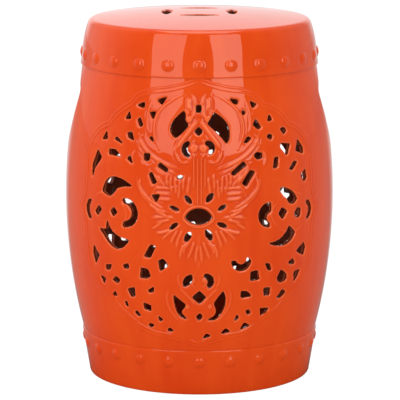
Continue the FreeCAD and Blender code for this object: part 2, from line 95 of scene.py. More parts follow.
class Shade:
    """A node's socket, for sums written as Python."""

    def __init__(self, nodes, socket):
        self.nodes = nodes
        self.socket = socket

    def joined(self, operation, other):
        """The outcome of one sum with another socket or number."""
        return self.nodes.add("ShaderNodeMath", {"operation": operation}, [self, other])

    def __add__(self, other):
        return self.joined("ADD", other)

    def __mul__(self, other):
        return self.joined("MULTIPLY", other)

    __radd__ = __add__
    __rmul__ = __mul__


class Nodes:
    """The nodes of a material or of the world."""

    def __init__(self, owner):
        owner.use_nodes = True
        self.tree = owner.node_tree

    def give(self, node, key, value):
        """Give one of a node's inputs a value or a link."""
        if isinstance(value, Shade):
            self.tree.links.new(value.socket, node.inputs[key])
        else:
            node.inputs[key].default_value = value

    def add(self, kind, settings, values, output=0):
        """Add a node, set it and its inputs, and give back one of its outputs."""
        node = self.tree.nodes.new(kind)
        for name, value in settings.items():
            setattr(node, name, value)
        pairs = values.items() if isinstance(values, dict) else enumerate(values)
        for key, value in pairs:
            self.give(node, key, value)
        return Shade(self, node.outputs[output])

    def place(self, stretch=(1, 1, 1)):
        """Object coordinates, stretched."""
        where = self.add("ShaderNodeTexCoord", {}, [], "Object")
        return self.add("ShaderNodeMapping", {}, {"Vector": where, "Scale": stretch})

    def noise(self, place, scale, detail):
        """A cloudy pattern between 0 and 1."""
        values = {"Vector": place, "Scale": scale, "Detail": detail, "Roughness": 0.5}
        return self.add("ShaderNodeTexNoise", {}, values, "Fac")

    def ramp(self, value, low, high):
        """A value spread evenly from 0 at low to 1 at high."""
        values = {"Value": value, "From Min": low, "From Max": high}
        return self.add("ShaderNodeMapRange", {"clamp": True}, values)

    def spread(self, value, first, last, low, high):
        """A value that passes softly from low at first to high at last."""
        source = {"Value": value, "From Min": first, "From Max": last}
        values = {**source, "To Min": low, "To Max": high}
        return self.add("ShaderNodeMapRange", {"interpolation_type": "SMOOTHSTEP"}, values)

    def between(self, share, first, second):
        """A number between two."""
        return self.add("ShaderNodeMix", {}, {0: share, 2: first, 3: second})

    def mix(self, share, first, second):
        """A colour between two."""
        first, second = [
            colour if isinstance(colour, Shade) else (*colour, 1) for colour in (first, second)]
        return self.add("ShaderNodeMix", {"data_type": "RGBA"}, {0: share, 6: first, 7: second}, 2)

    def mark(self, name):
        """A mark that some meshes carry at each of their points, 0 elsewhere."""
        return self.add("ShaderNodeAttribute", {"attribute_name": name}, [], "Fac")

    def ray(self, kind):
        """1 for rays of one kind, 0 for the others."""
        return self.add("ShaderNodeLightPath", {}, [], f"Is {kind} Ray")


def glaze(name):
    """Glossy orange-red glaze: even colour with faint runs, painted highlights and painted shade."""
    material = bpy.data.materials.new(name)
    nodes = Nodes(material)
    cloudy = nodes.noise(nodes.place(), 9, 3)
    runs = nodes.noise(nodes.place((1, 1, 0.12)), 55, 2)
    speckle = nodes.noise(nodes.place(), 700, 1)
    depth = nodes.ramp(cloudy * 0.6 + runs * 0.4, 0.35, 0.65)
    colour = nodes.mix(depth, (0.64, 0.048, 0.003), (0.71, 0.071, 0.006))
    colour = nodes.mix(nodes.ramp(speckle, 0.66, 0.8) * 0.25, colour, (0.66, 0.04, 0.004))
    # Painted highlight: pale pink on the crests of the relief and near the edges of openings
    colour = nodes.mix(nodes.mark("thin") * 0.7, colour, (0.94, 0.21, 0.075))
    # Painted shade: darker in the troughs of the carving
    colour = nodes.mix(nodes.mark("painted_trough_shade") * 0.45, colour, (0.52, 0.02, 0.003))
    # Painted shade: dark red on the walls of the openings
    colour = nodes.mix(nodes.mark("cut"), colour, (0.16, 0.022, 0.008))
    colour = nodes.mix(nodes.mark("inside"), colour, (0.50, 0.13, 0.065))
    waves = nodes.noise(nodes.place((1, 1, 0.5)), 24, 1)
    swell = {"Strength": 1.0, "Distance": 0.0011, "Height": waves}
    peel = nodes.noise(nodes.place(), 260, 2)
    skin = {
        "Strength": 1.0, "Distance": 0.00005, "Height": peel,
        "Normal": nodes.add("ShaderNodeBump", {}, swell),
    }
    surface = {
        "Base Color": colour,
        "Roughness": 0.30 + cloudy * 0.12,
        "Coat Weight": 1.0,
        "Coat Roughness": 0.03,
        "Coat IOR": 1.9,
        "Specular IOR Level": 0.0,
        "Normal": nodes.add("ShaderNodeBump", {}, skin),
    }
    for key, value in surface.items():
        nodes.give(nodes.tree.nodes["Principled BSDF"], key, value)
    return material


GLAZE = glaze("orange_red_glaze")
FOOT_GLAZE = glaze("foot_glaze")


# Pieces

SHARP_ANGLE = math.radians(48)


def finished(name, mesh, node_names, material=GLAZE):
    """Make a piece of a mesh: smooth but for its sharp edges, glazed, standing for its solids."""
    for face in mesh.faces:
        face.smooth = True
    for edge in mesh.edges:
        if len(edge.link_faces) == 2:
            edge.smooth = edge.calc_face_angle(0) < SHARP_ANGLE
    data = bpy.data.meshes.new(name)
    mesh.to_mesh(data)
    mesh.free()
    data.materials.append(material)
    piece = bpy.data.objects.new(name, data)
    bpy.context.scene.collection.objects.link(piece)
    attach(piece, "root")
    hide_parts(*node_names)


EASING_STEPS = 4


def eased(corners):
    """An outline whose corners are rounded: corners are (radius, height, easing)."""
    outline = []
    count = len(corners)
    for index, (across, height, easing) in enumerate(corners):
        corner = Vector((across, height))
        before = Vector(corners[index - 1][:2]) - corner
        after = Vector(corners[(index + 1) % count][:2]) - corner
        reach = min(easing, before.length / 2, after.length / 2)
        if reach <= 0:
            outline.append(corner)
            continue
        start = corner + before.normalized() * reach
        end = corner + after.normalized() * reach
        for step in range(EASING_STEPS + 1):
            part = step / EASING_STEPS
            outline.append(start * (1 - part) ** 2 + corner * 2 * part * (1 - part) + end * part ** 2)
    return outline


TURN_STEPS = 192


def turned(mesh, outline, closed=True):
    """Turn an outline about the stool's axis."""
    verts = [mesh.verts.new((across, 0, height)) for across, height in outline]
    first = 0 if closed else 1
    edges = [mesh.edges.new((verts[index - 1], verts[index])) for index in range(first, len(verts))]
    bmesh.ops.spin(
        mesh, geom=verts + edges, cent=(0, 0, 0), axis=(0, 0, 1), angle=math.tau,
        steps=TURN_STEPS, use_merge=True, use_duplicate=False)
    bmesh.ops.remove_doubles(mesh, verts=mesh.verts, dist=1e-6)
    bmesh.ops.recalc_face_normals(mesh, faces=mesh.faces)


def band_slope(height, ledge, edge):
    """Radius of a band between its ledge and its small edge. The upper one is a little full."""
    part = (height - ledge) / (edge - ledge)
    swell = SHOULDER_SWELL * math.sin(math.pi * part ** 1.5) if edge > ledge else 0
    return BAND_RADIUS + (RIM_RADIUS - BAND_RADIUS) * part + swell


def make_shoulder():
    """Conical band under the rim, a little full, with a rounded edge at its ledge."""
    mesh = bmesh.new()
    steps = 16
    heights = [UPPER_LEDGE + (RIM_EDGE - UPPER_LEDGE) * step / steps for step in range(1, steps)]
    inside = RIM_RADIUS - WALL
    inside_top = RIM_EDGE - 0.004
    inside_foot = UPPER_LEDGE + 0.02
    turned(mesh, eased([
        (BAND_RADIUS, UPPER_LEDGE, 0.0014),
        *[(band_slope(height, UPPER_LEDGE, RIM_EDGE), height, 0) for height in heights],
        (RIM_RADIUS, RIM_EDGE, 0),
        (inside, inside_top, 0),
        (inside, inside_foot, 0),
        (NECK_RADIUS - WALL, UPPER_LEDGE, 0),
    ]))
    finished("shoulder", mesh, ["shoulder_band"])


def make_base():
    """Conical band above the foot, with a soft lip at its ledge that catches the light."""
    mesh = bmesh.new()
    lip_foot = LOWER_LEDGE - 0.006
    lip_bend = (BAND_RADIUS - 0.0005, LOWER_LEDGE - 0.0012)
    lip_top = (BAND_RADIUS - LEDGE_STEP, LOWER_LEDGE)
    lip = along((band_slope(lip_foot, LOWER_LEDGE, 0), lip_foot), lip_bend, lip_top)
    foot_reach = band_slope(FOOT_HEIGHT, LOWER_LEDGE, 0)
    turned(mesh, eased([
        *[(across, height, 0) for across, height in lip],
        (NECK_RADIUS - WALL, LOWER_LEDGE, 0),
        (foot_reach - WALL, FOOT_HEIGHT, 0),
        (foot_reach, FOOT_HEIGHT, 0),
    ]))
    finished("base", mesh, ["base_band"])


def make_foot():
    """Turned-in foot, open in the middle."""
    mesh = bmesh.new()
    inside = RIM_RADIUS - FOOT_WIDTH
    turned(mesh, eased([
        (inside, 0, 0.0015),
        (RIM_RADIUS, 0, 0.002),
        (band_slope(FOOT_HEIGHT, LOWER_LEDGE, 0), FOOT_HEIGHT, 0),
        (inside, FOOT_HEIGHT, 0.003),
    ]))
    finished("foot", mesh, ["foot_ring"], FOOT_GLAZE)


# Outlines on the flat drawing

def along(start, bend, end, step=0.001):
    """Points on a bend through three places of the drawing."""
    start, bend, end = Vector(start), Vector(bend), Vector(end)
    pull = bend * 2 - (start + end) / 2
    count = max(2, int(((bend - start).length + (end - bend).length) / step))
    points = []
    for index in range(count + 1):
        part = index / count
        points.append(start * (1 - part) ** 2 + pull * 2 * part * (1 - part) + end * part ** 2)
    return points


def evenly(loop, step):
    """Points spaced evenly round a closed line."""
    loop = np.asarray(loop)
    closed = np.vstack([loop, loop[:1]])
    lengths = np.linalg.norm(np.diff(closed, axis=0), axis=1)
    travelled = np.concatenate([[0], np.cumsum(lengths)])
    count = max(8, int(travelled[-1] / step))
    places = np.linspace(0, travelled[-1], count, endpoint=False)
    return np.stack([np.interp(places, travelled, closed[:, axis]) for axis in (0, 1)], axis=1)


def worn(loop, passes):
    """A closed line with its corners worn round."""
    for _ in range(passes):
        loop = (np.roll(loop, 1, axis=0) + 2 * loop + np.roll(loop, -1, axis=0)) / 4
    return loop


def outlines_of(node):
    """Lines on the front face of a medallion's solid, flat on the drawing: its edge, its openings."""
    mesh = bmesh.new()
    mesh.from_mesh(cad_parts[node].data)
    bmesh.ops.remove_doubles(mesh, verts=mesh.verts, dist=1e-6)
    deep = []
    for vert in mesh.verts:
        if math.hypot(vert.co.x, vert.co.y) < barrel_radius(vert.co.z) - WALL / 4:
            deep.append(vert)
    bmesh.ops.delete(mesh, geom=deep, context="VERTS")
    onward = {}
    for edge in mesh.edges:
        if len(edge.link_faces) == 1:
            for vert in edge.verts:
                onward.setdefault(vert, []).append(edge.other_vert(vert))
    loops = []
    while onward:
        vert = next(iter(onward))
        loop = []
        while vert in onward:
            loop.append((math.atan2(vert.co.x, -vert.co.y) * DRAWING_RADIUS, vert.co.z))
            following = onward.pop(vert)
            vert = next((other for other in following if other in onward), None)
        if len(loop) > 2:
            loops.append(loop)
    mesh.free()
    loops.sort(key=lambda loop: np.ptp(np.array(loop)[:, 0]), reverse=True)
    return loops[0], loops[1:]


# The larger openings as they are cut in the clay, in millimetres of the drawing: corners and
# bends by turns
CLAY_OPENINGS = [
    [(-134.6, 254), (-119, 273), (-88.3, 265), (-101, 263.5), (-110, 261), (-115, 255),
     (-121, 250), (-128, 251.5)],
    [(-139.7, 206), (-134, 206.5), (-128.5, 206), (-127.5, 212), (-125.7, 218), (-115, 203),
     (-92.6, 197), (-109, 185), (-127, 193), (-133, 199.5)],
    [(91.6, 193), (110, 198), (122, 212), (127, 207.5), (132.3, 202.5), (117, 189.5)],
    [(19.6, 357), (34.5, 345.5), (38.5, 333), (38.3, 326), (34.9, 320), (25.5, 331), (11, 344),
     (14.8, 349.5)],
    [(-20.8, 359), (-18.6, 353.5), (-19.6, 349), (-17, 345.5), (-14.5, 342), (-23, 333),
     (-31, 327), (-37, 341)],
    [(31, 136), (33, 118), (22.7, 101), (17, 99.3), (11.5, 100), (20, 104.5), (22.4, 111),
     (21.3, 116), (19, 120), (24, 127.5)],
    [(-33.2, 131), (-26.5, 125.5), (-18.7, 119.5), (-20, 116), (-24.5, 110.5), (-22, 105.5),
     (-17.2, 101), (-28.8, 109)],
    [(-86, 363.5), (-81, 366), (-76, 367), (-76, 364), (-76.5, 361), (-81, 362)],
    [(-90, 105), (-88, 106), (-86, 106), (-84, 103.5), (-82, 101), (-86, 101)],
    [(110, 261), (126, 255), (135, 244.5), (131, 240.5), (124, 239.7), (120.5, 243),
     (118.4, 247.4), (113, 251.4), (108, 258), (107.5, 260)],
]
# An outline takes the place of an opening when one lies in the other by at least this share
SAME_OPENING = 0.3

# The edge runs a little wider near two places of its left side: by how much, and how far round
WIDER_PLACES = [(-0.084, 0.366), (-0.088, 0.099)]
WIDER_BY = 0.006
WIDER_REACH = 0.014


def redrawn(openings):
    """The openings, the larger ones exchanged for their own outlines."""
    for places in CLAY_OPENINGS:
        places = [Vector(place) * MM for place in places]
        loop = []
        for index in range(0, len(places), 2):
            corner, bend = places[index:index + 2]
            following = places[(index + 2) % len(places)]
            loop += [tuple(place) for place in along(corner, bend, following)[:-1]]
        loop = np.array(loop)
        kept_lines = []
        for opening in openings:
            line = np.array(opening)
            if max(inside_loop(line, loop).mean(), inside_loop(loop, line).mean()) < SAME_OPENING:
                kept_lines.append(opening)
        openings = kept_lines + [loop]
    return openings


def mirrored(loop):
    """A closed line made of its right half and that half's mirror image."""
    right = loop[:, 0] > MIDDLE_LINE
    first = int(np.flatnonzero(right & ~np.roll(right, 1))[0])
    half = np.roll(loop, -first, axis=0)[:int(right.sum())]
    image = half[::-1] * (-1, 1) + (2 * MIDDLE_LINE, 0)
    return np.vstack([half, image])


def eased_out(loop, place):
    """A closed line drawn outwards near a place."""
    away = loop - loop.mean(axis=0)
    away /= np.linalg.norm(away, axis=1)[:, None]
    near = np.exp(-(np.linalg.norm(loop - np.array(place), axis=1) / WIDER_REACH) ** 2)
    return loop + away * near[:, None] * WIDER_BY


def grown(loop, amount):
    """A closed line moved outwards."""
    run = np.roll(loop, -1, axis=0) - np.roll(loop, 1, axis=0)
    run /= np.linalg.norm(run, axis=1)[:, None] + 1e-12
    beside = np.stack([run[:, 1], -run[:, 0]], axis=1)
    turning = np.sum(loop[:, 0] * np.roll(loop[:, 1], -1) - loop[:, 1] * np.roll(loop[:, 0], -1))
    return loop + beside * amount * (1 if turning > 0 else -1)


def inside_loop(points, loop):
    """Which points lie inside a closed line."""
    hit = np.zeros(len(points), bool)
    low, high = loop.min(axis=0), loop.max(axis=0)
    near = np.all((points >= low) & (points <= high), axis=1)
    here = points[near]
    crossed = np.zeros(len(here), bool)
    for (x0, y0), (x1, y1) in zip(loop, np.roll(loop, -1, axis=0)):
        if y0 != y1:
            between = (here[:, 1] < y0) != (here[:, 1] < y1)
            crossed ^= between & (here[:, 0] < x0 + (here[:, 1] - y0) * (x1 - x0) / (y1 - y0))
    hit[near] = crossed
    return hit


def left_out(points, edge, openings):
    """Which points lie beyond the edge or in an opening."""
    outside = np.zeros(len(points), bool)
    if edge is not None:
        outside |= ~inside_loop(points, edge)
    for opening in openings:
        outside |= inside_loop(points, opening)
    return outside


def nearest(points, lines):
    """Nearest place on some lines of close points, and the distance to it."""
    places = np.vstack(lines)
    tree = kdtree.KDTree(len(places))
    for index, (across, height) in enumerate(places):
        tree.insert((across, height, 0), index)
    tree.balance()
    found = [tree.find((across, height, 0)) for across, height in points]
    return np.array([hit[0][:2] for hit in found]), np.array([hit[2] for hit in found])


def flat_of(mesh):
    """The points of a flat mesh, without their rise."""
    return np.array([vert.co[:2] for vert in mesh.verts])


def cut_sheet(width, low, high, cell, edge, openings):
    """A flat sheet of small squares, drawn onto and cut along its edge and its openings.

    edge is the line that the sheet fills, or None for a plain sheet. openings are the lines
    that it leaves out.
    """
    mesh = bmesh.new()
    columns, rows = round(width / cell), round((high - low) / cell)
    bmesh.ops.create_grid(mesh, x_segments=columns, y_segments=rows, size=0.5)
    bmesh.ops.scale(mesh, verts=mesh.verts, vec=(width, high - low, 1))
    bmesh.ops.translate(mesh, verts=mesh.verts, vec=(0, (low + high) / 2, 0))
    return trimmed(mesh, cell, edge, openings)


def trimmed(mesh, cell, edge, openings):
    """Draw a sheet's points onto its lines, and delete what lies beyond them."""
    mark = mesh.verts.layers.float.new("side")
    points = flat_of(mesh)
    outside = left_out(points, edge, openings)
    lines = ([edge] if edge is not None else []) + openings
    place, distance = nearest(points, lines)
    drawn = distance < cell * 0.5
    side = np.where(outside, -1.0, 1.0)
    side[drawn] = 0
    on_line = []
    for vert, place_here, is_drawn in zip(mesh.verts, place, drawn):
        if is_drawn:
            vert.co.xy = place_here
            on_line.append(vert)
    for vert, value in zip(mesh.verts, side):
        vert[mark] = value
    bmesh.ops.connect_verts(mesh, verts=on_line)
    spare, doubtful = [], []
    for face in mesh.faces:
        total = sum(vert[mark] for vert in face.verts)
        if total < 0:
            spare.append(face)
        elif total == 0:
            doubtful.append(face)
    centres = np.array([face.calc_center_median()[:2] for face in doubtful]).reshape(-1, 2)
    spare += [face for face, out in zip(doubtful, left_out(centres, edge, openings)) if out]
    bmesh.ops.delete(mesh, geom=spare, context="FACES")
    mesh.verts.layers.float.remove(mesh.verts.layers.float["side"])
    bmesh.ops.dissolve_degenerate(mesh, edges=mesh.edges, dist=1e-6)
    return mesh


def only(parts, kind):
    """The points, the edges or the faces among some parts of a mesh."""
    return [part for part in parts if isinstance(part, kind)]


def backed(mesh):
    """Copy a sheet with its faces reversed. Gives the sheet's border and the parts of the copy."""
    border = [edge for edge in mesh.edges if edge.is_boundary]
    copy = bmesh.ops.duplicate(mesh, geom=mesh.verts[:] + mesh.edges[:] + mesh.faces[:])["geom"]
    bmesh.ops.reverse_faces(mesh, faces=only(copy, bmesh.types.BMFace))
    return border, copy


def thickened(mesh, depths):
    """Give a flat sheet its side walls, in steps down to the last depth, and its back.

    The walls are marked as cut, for painted shade, and the back as the inside.
    """
    cut = mesh.verts.layers.float["cut"]
    back = mesh.verts.layers.float["inside"]
    border, copy = backed(mesh)
    for vert in only(copy, bmesh.types.BMVert):
        vert.co.z = depths[-1]
        vert[back] = 1
    for depth in depths:
        walls = bmesh.ops.extrude_edge_only(mesh, edges=border)["geom"]
        border = only(walls, bmesh.types.BMEdge)
        for vert in only(walls, bmesh.types.BMVert):
            vert.co.z = depth
            vert[cut] = 1
            vert[back] = 1 if depth == depths[-1] else 0
    bmesh.ops.remove_doubles(mesh, verts=mesh.verts, dist=1e-6)
    bmesh.ops.recalc_face_normals(mesh, faces=mesh.faces)


def wrapped(mesh, turn, shape=None):
    """Carry a flat mesh of (across, height, rise) onto the barrel, turned about its axis."""
    for vert in mesh.verts:
        across, height, rise = vert.co
        angle = across / DRAWING_RADIUS + turn
        radius = float(barrel_radius(min(max(height, LOWER_LEDGE), UPPER_LEDGE)))
        if shape:
            radius = shape(radius, angle, height)
        radius += rise
        vert.co = (radius * math.sin(angle), -radius * math.cos(angle), height)


# The carving, in millimetres of the drawing: lines of the right half, mirrored for the left, as
# start, bend, end, width and rise
RIDGES = [
    # Outer edge of the large crescent beside the upper openings, and the line outside it
    ((20, 379), (56, 352), (50, 312), 1.9, 0.8),
    ((64, 372), (69, 350), (66, 331), 1.8, 0.6),
    # Curved stem under the crescent and its lower twin
    ((80, 331), (62, 306), (22, 289), 2.6, 1.0),
    ((84, 322), (70, 304), (60, 299), 2.0, 0.8),
    ((56, 300), (42, 290), (24, 282), 1.8, 0.7),
    # Strap that crosses under the upper diamond and curls round the hook
    ((1, 349), (15, 332), (30, 312), 3.2, 1.1),
    ((29, 313), (23, 299), (9, 300), 2.0, 0.9),
    ((8, 379), (5, 362), (13, 346), 2.4, 1.0),
    ((12, 374), (14, 368), (12, 361), 3.2, 1.1),
    ((13, 346), (17, 352), (12, 357), 1.6, 0.8),
    ((4, 326), (8, 314), (4, 302), 1.8, 0.8),
    # Leaves beside the two long bars
    ((79, 278), (71, 256), (51, 242), 2.2, 0.8),
    ((84, 310), (87, 300), (84, 290), 2.0, 0.8),
    ((74, 330), (78, 322), (76, 314), 1.8, 0.7),
    ((46, 276), (56, 262), (60, 252), 1.6, 0.6),
    # Lower figure: strap and curls
    ((4, 118), (14, 131), (26, 142), 2.0, 0.6),
    ((3, 160), (9, 150), (4, 141), 1.6, 0.6),
    ((24, 160), (26, 150), (21, 141), 1.8, 0.5),
    ((38, 140), (40, 118), (22, 94), 1.8, 0.5),
    # Faint seam under the flower
    ((1, 212), (1, 188), (1, 163), 1.3, 0.35),
    # Roundel at either side of the medallion
    ((106, 246), (94, 229), (106, 212), 1.8, 0.4),
    ((146, 246), (126, 254), (106, 246), 1.8, 0.4),
    ((146, 212), (126, 203), (106, 212), 1.8, 0.4),
]
# Veins of the leaves round the centre oval: start, bend and end
VEINS = [
    ((23, 277), (24, 266), (25, 253)), ((29, 281), (29, 270), (28, 259)),
    ((34, 280), (35, 271), (32, 261)), ((39, 283), (40, 275), (38, 268)),
    ((53, 281), (46, 273), (42, 266)), ((64, 288), (55, 279), (48, 271)),
    ((35, 265), (44, 266), (55, 265)), ((34, 258), (44, 259), (56, 259)),
    ((34, 252), (44, 252), (53, 253)), ((74, 277), (72, 261), (53, 246)),
    ((67, 255), (55, 246), (42, 239)), ((64, 247), (51, 239), (38, 236)),
    ((28, 229), (44, 230), (60, 228)), ((36, 231), (46, 234), (55, 239)),
    ((35, 227), (44, 225), (53, 222)), ((44, 225), (53, 218), (58, 215)),
    ((21, 221), (35, 212), (46, 201)), ((26, 214), (31, 206), (35, 197)),
    ((19, 215), (25, 204), (28, 191)), ((35, 215), (44, 211), (53, 210)),
    ((11, 199), (17, 193), (19, 183)), ((5, 201), (9, 190), (14, 178)),
    ((1, 197), (3, 186), (4, 174)), ((17, 197), (22, 188), (22, 179)),
    ((17, 283), (19, 275), (19, 263)), ((14, 259), (13, 268), (11, 281)),
]
VEIN_WIDTH = 2.1
VEIN_RISE = 0.95
# Knobs of the scrolls: place, radius, rise
KNOBS = [((12, 350), 4.2, 1.1), ((6, 315), 5.0, 1.2), ((8, 151), 4.0, 0.7), ((14.5, 117), 3.2, 0.9)]

# How steeply a ridge falls, and its trough's depth in shares of its rise, with the trough's
# place and steepness in shares of its width
RIDGE_FALL = 1.5
TROUGH_DEPTH = 0.35
TROUGH_PLACE = 1.35
TROUGH_FALL = 2.4
# The same for the ring round a knob, and the depth and reach of the dimple in its top
RING_PLACE = 1.2
RING_FALL = 5
DIMPLE_DEPTH = 0.5
DIMPLE_REACH = 0.35


def carved_place(place, side):
    """A place of the carving in metres, on the right half for 1 or on the left for -1."""
    return side * place[0] * MM + MIDDLE_LINE, place[1] * MM


def carved_lines():
    """Every ridge of the carving on both halves, in metres, with its width and rise."""
    lines = list(RIDGES)
    for vein in VEINS:
        lines.append((*vein, VEIN_WIDTH, VEIN_RISE))
    both = []
    for *places, width, rise in lines:
        for side in (1, -1):
            line = along(*[carved_place(place, side) for place in places])
            both.append((line, width * MM, rise * MM))
    return both


def carved_height(points):
    """How far the carving rises at points of the drawing."""
    height = np.zeros(len(points))
    for line, width, rise in carved_lines():
        line = np.array([tuple(place) for place in line])
        low, high = line.min(axis=0) - 2 * width, line.max(axis=0) + 2 * width
        near = np.all((points > low) & (points < high), axis=1)
        if not near.any():
            continue
        gap = points[near][:, None, :] - line[None, :, :]
        distance = np.sqrt((gap ** 2).sum(axis=2))
        closest = distance.argmin(axis=1)
        part = closest / (len(line) - 1)
        taper = np.clip(np.minimum(part, 1 - part) * 6, 0.25, 1)
        away = distance.min(axis=1) / (width * (0.6 + 0.4 * taper))
        ridge = rise * taper * np.exp(-(away * RIDGE_FALL) ** 2)
        trough = -TROUGH_DEPTH * rise * np.exp(-((away - TROUGH_PLACE) * TROUGH_FALL) ** 2)
        present = height[near]
        raised = ridge > 0.15 * rise
        height[near] = np.where(raised, np.maximum(present, ridge), present + trough * taper)
    for middle, radius, rise in KNOBS:
        for side in (1, -1):
            away = points - np.array(carved_place(middle, side))
            away = np.linalg.norm(away, axis=1) / (radius * MM)
            dimple = 1 - DIMPLE_DEPTH * np.exp(-(away / DIMPLE_REACH) ** 2)
            dome = rise * MM * np.sqrt(np.clip(1 - away ** 2, 0, 1)) * dimple
            ring = -TROUGH_DEPTH * rise * MM * np.exp(-((away - RING_PLACE) * RING_FALL) ** 2)
            height = np.where(away < 1, np.maximum(height, dome), height + ring)
    return height


MEDALLION_CELL = 0.0011
PANEL = 0.0068
# Depths at which the walls of the openings have a line of points, the last at the panel's back
WALL_STEPS = (-0.0022, -0.0040, -PANEL)
EDGE_ROUNDING = 0.0008
# The panel sinks towards its openings: how deep, and over what distance
PILLOW_DEPTH = 0.0007
PILLOW_REACH = 0.003
# The carving fades out towards the openings: where it ends, and over what distance
CARVING_END = 0.0004
CARVING_FADE = 0.002
# A painted highlight lies near an opening and on a relief of this rise, and painted shade at this
# trough depth
HIGHLIGHT_REACH = 0.0022
HIGHLIGHT_RISE = 0.0009
TROUGH_SHADE_DEPTH = 0.0004


def flat_medallion(edge, openings):
    """The pierced and carved medallion, flat on the drawing."""
    margin = 2 * MEDALLION_CELL
    width = np.ptp(edge[:, 0]) + 2 * margin
    low, high = edge[:, 1].min() - margin, edge[:, 1].max() + margin
    mesh = cut_sheet(width, low, high, MEDALLION_CELL, edge, openings)
    points = flat_of(mesh)
    distance = nearest(points, openings)[1]
    from_edge = np.clip(EDGE_ROUNDING - distance, 0, EDGE_ROUNDING)
    drop = EDGE_ROUNDING - np.sqrt(EDGE_ROUNDING ** 2 - from_edge ** 2)
    pillow = PILLOW_DEPTH * np.exp(-(distance / PILLOW_REACH))
    carved = carved_height(points)
    fade = np.clip((distance - CARVING_END) / CARVING_FADE, 0, 1)
    rise = carved * fade - drop - pillow
    thin = mesh.verts.layers.float.new("thin")
    painted_trough_shade = mesh.verts.layers.float.new("painted_trough_shade")
    mesh.verts.layers.float.new("cut")
    mesh.verts.layers.float.new("inside")
    # Painted highlight near the openings and on the carving's crests, painted shade in its troughs
    for vert, height, gap, relief in zip(mesh.verts, rise, distance, carved):
        vert.co.z = height
        vert[thin] = max(0, 1 - gap / HIGHLIGHT_REACH) * 0.65 + min(max(relief / HIGHLIGHT_RISE, 0), 1) * 0.6
        vert[painted_trough_shade] = min(max(-relief / TROUGH_SHADE_DEPTH, 0), 1)
    thickened(mesh, WALL_STEPS)
    far = [vert for vert in mesh.verts if vert.co.z < -0.95 * PANEL and not vert.is_boundary]
    bmesh.ops.unsubdivide(mesh, verts=far, iterations=2)
    return kept(mesh)


def kept(mesh):
    """A mesh put by, to be used again."""
    data = bpy.data.meshes.new("kept")
    mesh.to_mesh(data)
    mesh.free()
    return data


def make_medallion(side, turn, flat):
    """One of the two medallions."""
    mesh = bmesh.new()
    mesh.from_mesh(flat)
    wrapped(mesh, turn)
    finished(f"pierced_medallion_{side}", mesh, [f"{side}_medallion"])


def grip_reach(height):
    """How far from the axis the grip's profile stands at a height."""
    heights, reaches = zip(*(GRIP + GRIP_LIP))
    return np.interp(height, heights, reaches, left=1.0, right=1.0)


def scooped(radius, angle, height):
    """The barrel's radius with the grips in its sides."""
    across = abs(math.sin(angle))
    reach = float(grip_reach(height))
    if across * radius > reach:
        return reach / across
    return radius


BARREL_CELL = 0.0035


def make_barrel(edge):
    """The barrel's wall round both medallions, made as two halves."""
    whole = bmesh.new()
    for turn in (0.0, math.pi):
        width = math.pi * DRAWING_RADIUS
        half = cut_sheet(width, LOWER_LEDGE, UPPER_LEDGE, BARREL_CELL, None, [edge])
        half.verts.layers.float.new("cut")
        half.verts.layers.float.new("inside")
        thickened(half, (-WALL,))
        wrapped(half, turn, scooped)
        data = kept(half)
        whole.from_mesh(data)
        bpy.data.meshes.remove(data)
    seam = [face for face in whole.faces if max(abs(vert.co.y) for vert in face.verts) < 1e-6]
    bmesh.ops.delete(whole, geom=seam, context="FACES")
    bmesh.ops.remove_doubles(whole, verts=whole.verts, dist=1e-5)
    bmesh.ops.recalc_face_normals(whole, faces=whole.faces)
    finished("barrel", whole, ["barrel_wall"])


# Raised lines that are laid on the barrel, with their sections in millimetres: across and rise

FRAME_SECTION = [
    (-4.0, -0.8), (-4.0, 0.0), (-3.3, 0.4), (-2.4, 0.65), (-1.5, 0.5), (-0.8, 0.2),
    (0.8, 0.2), (1.5, 0.5), (2.4, 0.65), (3.3, 0.4), (4.0, 0.0), (4.0, -0.8),
]
COLLAR_SECTION = [
    (-1.8, -0.8), (-1.8, 0.2), (-1.2, 1.0), (0, 1.45), (1.2, 1.0), (1.8, 0.2), (1.8, -0.8),
]
RIB_SECTION = [
    (-1.3, -0.8), (-1.3, 0.2), (-0.9, 1.0), (0, 1.45), (0.9, 1.0), (1.3, 0.2), (1.3, -0.8),
]
# A painted highlight lies on what rises more than this
HIGHLIGHT_CREST = 0.9


def laid_line(mesh, line, section, closed):
    """A section carried along a line of the drawing."""
    line = np.array([tuple(place) for place in line])
    if closed:
        ahead, behind = np.roll(line, -1, axis=0), np.roll(line, 1, axis=0)
    else:
        ahead, behind = np.vstack([line[1:], line[-1:]]), np.vstack([line[:1], line[:-1]])
    run = ahead - behind
    run /= np.linalg.norm(run, axis=1)[:, None]
    beside = np.stack([run[:, 1], -run[:, 0]], axis=1)
    thin = mesh.verts.layers.float.get("thin") or mesh.verts.layers.float.new("thin")
    rows = len(section)
    columns = len(line) + (1 if closed else 0)
    made = bmesh.ops.create_grid(mesh, x_segments=columns - 1, y_segments=rows, size=0.5)["verts"]
    for vert in made:
        column = round((vert.co.x + 0.5) * (columns - 1))
        row = round((vert.co.y + 0.5) * rows) % rows
        offset, rise = section[row]
        place = line[column % len(line)] + beside[column % len(line)] * offset * MM
        vert.co = (place[0], place[1], rise * MM)
        # Painted highlight on the crest of the section
        vert[thin] = max(rise - HIGHLIGHT_CREST, 0) * 1.2
    bmesh.ops.remove_doubles(mesh, verts=made, dist=1e-6)
    if not closed:
        bmesh.ops.holes_fill(mesh, edges=[edge for edge in mesh.edges if edge.is_boundary])


def make_frame(side, turn, edge):
    """The double bead round a medallion."""
    mesh = bmesh.new()
    laid_line(mesh, worn(evenly(edge, 0.0025), 2), FRAME_SECTION, True)
    bmesh.ops.recalc_face_normals(mesh, faces=mesh.faces)
    wrapped(mesh, turn)
    finished(f"beaded_frame_{side}", mesh, [f"{side}_frame"])


# How far the centre oval's middle may be from its expected place, and the collar from its edge
OVAL_REACH = 0.01
COLLAR_GAP = 0.0028


